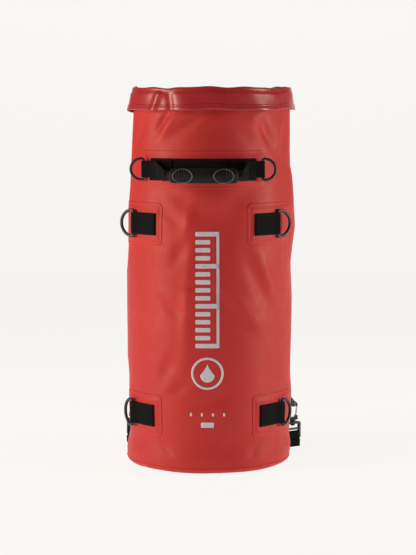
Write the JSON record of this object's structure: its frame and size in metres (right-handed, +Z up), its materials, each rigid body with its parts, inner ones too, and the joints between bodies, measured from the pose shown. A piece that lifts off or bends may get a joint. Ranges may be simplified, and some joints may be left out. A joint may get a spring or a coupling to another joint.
{
  "type": "roll-top dry bag",
  "caption": "Waterproof roll-top dry bag with its mouth turned down, lash rings, a rubber-gripped carry handle and clip-on shoulder straps.",
  "frame": {"origin": "centre of the underside of the base panel", "axes": "+Z up through the mouth, the handle side faces -Y, +X is the right of a viewer who faces the handle"},
  "size_m": [0.33, 0.387, 0.681],
  "materials": {
    "red_tarpaulin": "matte coated tarpaulin",
    "red_patch": "matte coated tarpaulin, embossed border",
    "dark_lining": "welded seam tape",
    "black_webbing": "woven webbing",
    "black_coated_steel": "satin black coating",
    "grip_rubber": "matte moulded rubber",
    "padding": "padded mesh fabric",
    "buckle_plastic": "moulded black acetal",
    "hook_metal": "black coated",
    "gate_steel": "bright spring steel",
    "stiffener_plastic": "flexible strip",
    "print_grey": "screen-printed ink"
  },
  "bodies": {
    "bag": {"adjuster_webbing_left": "black_webbing", "adjuster_webbing_right": "black_webbing", "back_seam_tape": "dark_lining", "base_panel": "red_tarpaulin", "body_tube": "red_tarpaulin", "buckle_webbing_left": "black_webbing", "buckle_webbing_right": "black_webbing", "collar_cuff": "red_tarpaulin", "front_mouth_stiffener": "stiffener_plastic", "handle_base_webbing": "black_webbing", "handle_patch": "red_patch", "handle_ring_keeper_left": "black_webbing", "handle_ring_keeper_right": "black_webbing", "harness_patch": "red_patch", "lower_lash_patch_left": "red_patch", "lower_lash_patch_right": "red_patch", "lower_lash_webbing_left": "black_webbing", "lower_lash_webbing_right": "black_webbing", "pad_top_webbing_left": "black_webbing", "pad_top_webbing_right": "black_webbing", "rear_mouth_stiffener": "stiffener_plastic", "rear_patch_left": "red_patch", "rear_patch_right": "red_patch", "rear_ring_webbing_left": "black_webbing", "rear_ring_webbing_right": "black_webbing", "shoulder_pad_left": "padding", "shoulder_pad_right": "padding", "strap_adjuster_left": "buckle_plastic", "strap_adjuster_right": "buckle_plastic", "strap_webbing_left": "black_webbing", "strap_webbing_right": "black_webbing", "upper_lash_patch_left": "red_patch", "upper_lash_patch_right": "red_patch", "upper_lash_webbing_left": "black_webbing", "upper_lash_webbing_right": "black_webbing"},
    "upper_ring_left": {"upper_lash_ring_left": "black_coated_steel"},
    "upper_ring_right": {"upper_lash_ring_right": "black_coated_steel"},
    "lower_ring_left": {"lower_lash_ring_left": "black_coated_steel"},
    "lower_ring_right": {"lower_lash_ring_right": "black_coated_steel"},
    "handle_ring_left_body": {"handle_ring_left": "black_coated_steel"},
    "handle_ring_right_body": {"handle_ring_right": "black_coated_steel"},
    "handle": {"handle_webbing": "black_webbing", "handle_grip": "grip_rubber"},
    "rear_ring_left_body": {"rear_ring_left": "black_coated_steel"},
    "snap_hook_left_body": {"snap_hook_left": "hook_metal"},
    "snap_gate_left_body": {"snap_gate_left": "gate_steel"},
    "rear_ring_right_body": {"rear_ring_right": "black_coated_steel"},
    "snap_hook_right_body": {"snap_hook_right": "hook_metal"},
    "snap_gate_right_body": {"snap_gate_right": "gate_steel"},
    "buckle_socket_body": {"buckle_socket": "buckle_plastic"},
    "buckle_plug_body": {"buckle_plug": "buckle_plastic"},
    "buckle_prong_front_body": {"buckle_prong_front": "buckle_plastic"},
    "buckle_prong_rear_body": {"buckle_prong_rear": "buckle_plastic"}
  },
  "joints": [
    {"name": "upper_lash_ring_left_swing", "type": "hinge", "parent": "bag", "child": "upper_ring_left", "pos_m": [-0.1279, -0.08692, 0.44], "axis": [0, 0, 1], "range_deg": [-28, 133]},
    {"name": "upper_lash_ring_right_swing", "type": "hinge", "parent": "bag", "child": "upper_ring_right", "pos_m": [0.1285, -0.08602, 0.44], "axis": [0, 0, -1], "range_deg": [-21, 140]},
    {"name": "lower_lash_ring_left_swing", "type": "hinge", "parent": "bag", "child": "lower_ring_left", "pos_m": [-0.13218, -0.07942, 0.099], "axis": [0, 0, 1], "range_deg": [-3, 156]},
    {"name": "lower_lash_ring_right_swing", "type": "hinge", "parent": "bag", "child": "lower_ring_right", "pos_m": [0.1374, -0.07001, 0.099], "axis": [0, 0, -1], "range_deg": [-5, 154]},
    {"name": "handle_ring_left_swing", "type": "hinge", "parent": "bag", "child": "handle_ring_left_body", "pos_m": [-0.10836, -0.10538, 0.5365], "axis": [0, 0, 1], "range_deg": [-45, 110]},
    {"name": "handle_ring_right_swing", "type": "hinge", "parent": "bag", "child": "handle_ring_right_body", "pos_m": [0.10153, -0.11197, 0.5365], "axis": [0, 0, -1], "range_deg": [-45, 110]},
    {"name": "handle_lift", "type": "hinge", "parent": "bag", "child": "handle", "pos_m": [-0.00405, -0.12894, 0.5365], "axis": [-0.9995, 0.0314, 0], "range_deg": [0, 45]},
    {"name": "rear_ring_left_swing", "type": "hinge", "parent": "bag", "child": "rear_ring_left_body", "pos_m": [-0.13078, 0.08172, 0.108], "axis": [0.5299, 0.848, 0], "range_deg": [0, 3]},
    {"name": "snap_hook_left_swivel", "type": "hinge", "parent": "bag", "child": "snap_hook_left_body", "pos_m": [-0.14543, 0.09087, 0.06138], "axis": [0, 0, 1], "range_deg": [-10, 10]},
    {"name": "snap_gate_left_press", "type": "hinge", "parent": "snap_hook_left_body", "child": "snap_gate_left_body", "pos_m": [-0.15094, 0.09432, 0.06688], "axis": [0.5299, 0.848, 0], "range_deg": [0, 20], "stiffness_Nm_per_rad": 0.02},
    {"name": "rear_ring_right_swing", "type": "hinge", "parent": "bag", "child": "rear_ring_right_body", "pos_m": [0.13977, 0.06517, 0.108], "axis": [0.4226, -0.9063, 0], "range_deg": [0, 3]},
    {"name": "snap_hook_right_swivel", "type": "hinge", "parent": "bag", "child": "snap_hook_right_body", "pos_m": [0.15542, 0.07247, 0.06138], "axis": [0, 0, 1], "range_deg": [-10, 10]},
    {"name": "snap_gate_right_press", "type": "hinge", "parent": "snap_hook_right_body", "child": "snap_gate_right_body", "pos_m": [0.16131, 0.07522, 0.06688], "axis": [0.4226, -0.9063, 0], "range_deg": [0, 20], "stiffness_Nm_per_rad": 0.02},
    {"name": "buckle_socket_swing", "type": "hinge", "parent": "bag", "child": "buckle_socket_body", "pos_m": [0.12814, 0.08007, 0.61], "axis": [0.5299, -0.848, 0], "range_deg": [0, 70]},
    {"name": "buckle_plug_swing", "type": "hinge", "parent": "bag", "child": "buckle_plug_body", "pos_m": [-0.12814, 0.08007, 0.61], "axis": [0.5299, 0.848, 0], "range_deg": [0, 70]},
    {"name": "buckle_prong_front_flex", "type": "hinge", "parent": "buckle_plug_body", "child": "buckle_prong_front_body", "pos_m": [-0.13413, 0.07143, 0.5914], "axis": [0.848, -0.5299, 0], "range_deg": [0, 7], "stiffness_Nm_per_rad": 0.05},
    {"name": "buckle_prong_rear_flex", "type": "hinge", "parent": "buckle_plug_body", "child": "buckle_prong_rear_body", "pos_m": [-0.123, 0.08924, 0.5914], "axis": [-0.848, 0.5299, 0], "range_deg": [0, 7], "stiffness_Nm_per_rad": 0.05}
  ],
  "couplings": [
    {"joint": "buckle_prong_rear_flex", "follows": "buckle_prong_front_flex", "ratio": 1}
  ]
}
